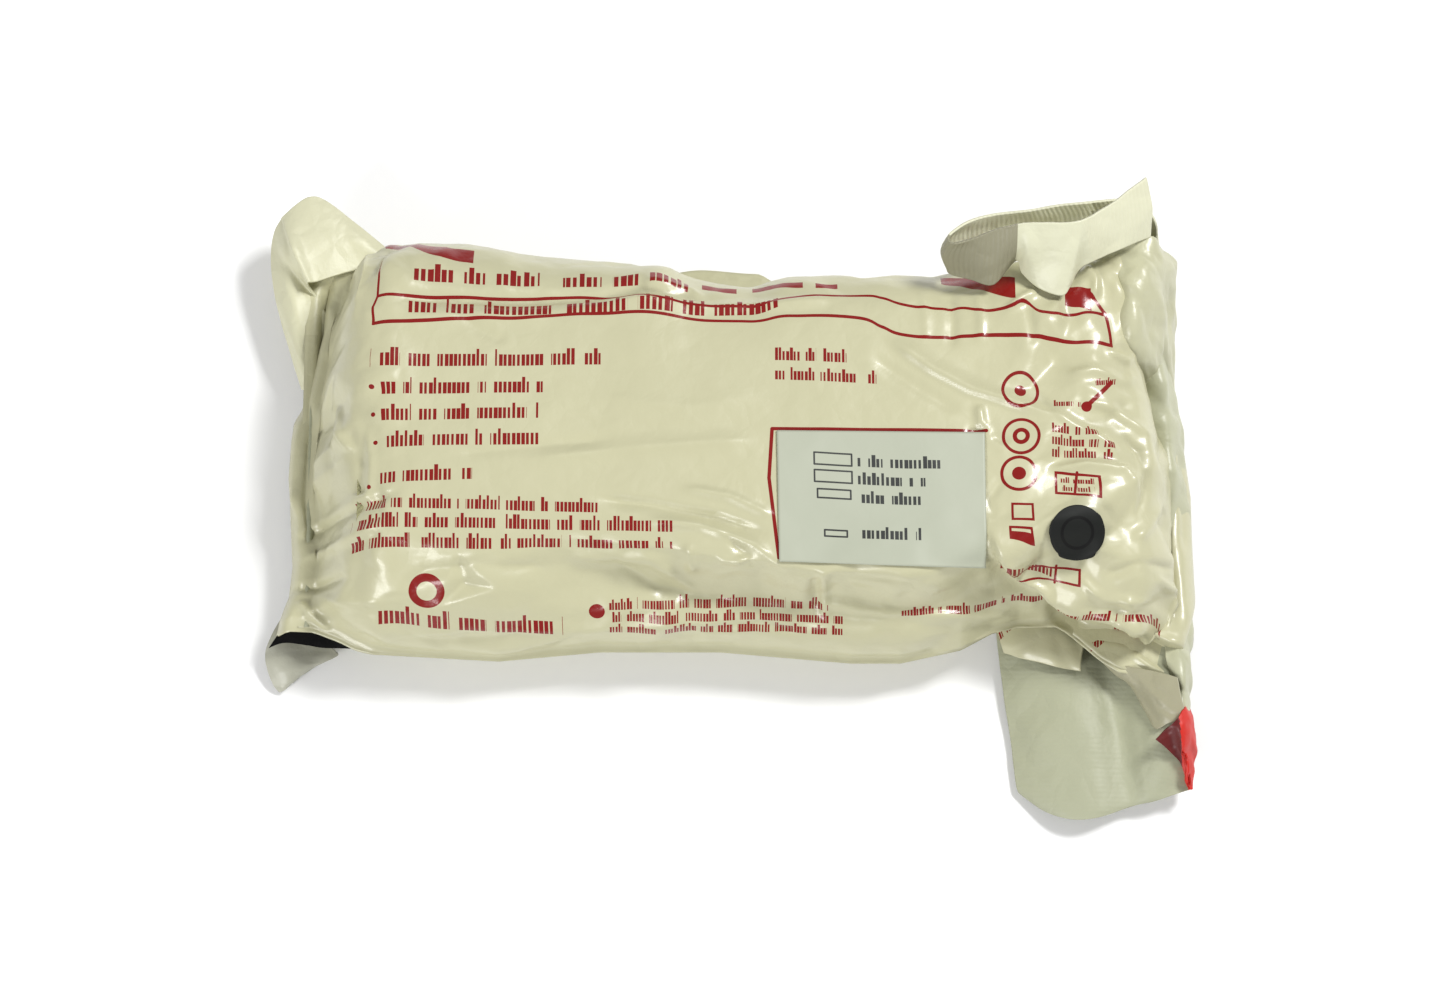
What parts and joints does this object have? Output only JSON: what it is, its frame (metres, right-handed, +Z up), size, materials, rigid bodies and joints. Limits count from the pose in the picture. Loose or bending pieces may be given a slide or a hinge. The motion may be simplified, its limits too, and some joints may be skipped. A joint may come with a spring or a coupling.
{
  "type": "vacuum-packed emergency trauma bandage",
  "caption": "Sealed cream film pouch, vacuum packed round a flat-wound elastic bandage with its pad, lying on its back with folded end seals and a curled corner.",
  "frame": {"origin": "the floor under the middle of the whole thing's bounding box, as it lies on its back", "axes": "+X along the pouch to the right, +Y away from the viewer, +Z up"},
  "size_m": [0.177, 0.1232, 0.0446],
  "materials": {
    "printed_film": "thin printed film, glossy, creased by the vacuum",
    "plain_film": "thin plain film, glossy",
    "sealed_film": "two films heat sealed together, finely ribbed",
    "label_paper": "coated label paper",
    "sticker": "dark grey coated paper disc",
    "elastic_cloth": "woven elastic cloth",
    "pad_cloth": "soft non-woven pad",
    "moulded_plastic": "plain moulded plastic"
  },
  "bodies": {
    "root": {"front_film": "printed_film", "back_film": "plain_film", "left_end_seal": "sealed_film", "right_end_seal": "sealed_film", "label": "label_paper", "round_sticker": "sticker", "elastic_wrap": "elastic_cloth", "wound_pad": "pad_cloth", "pressure_applicator": "moulded_plastic", "closure_bar": "moulded_plastic"}
  },
  "joints": []
}
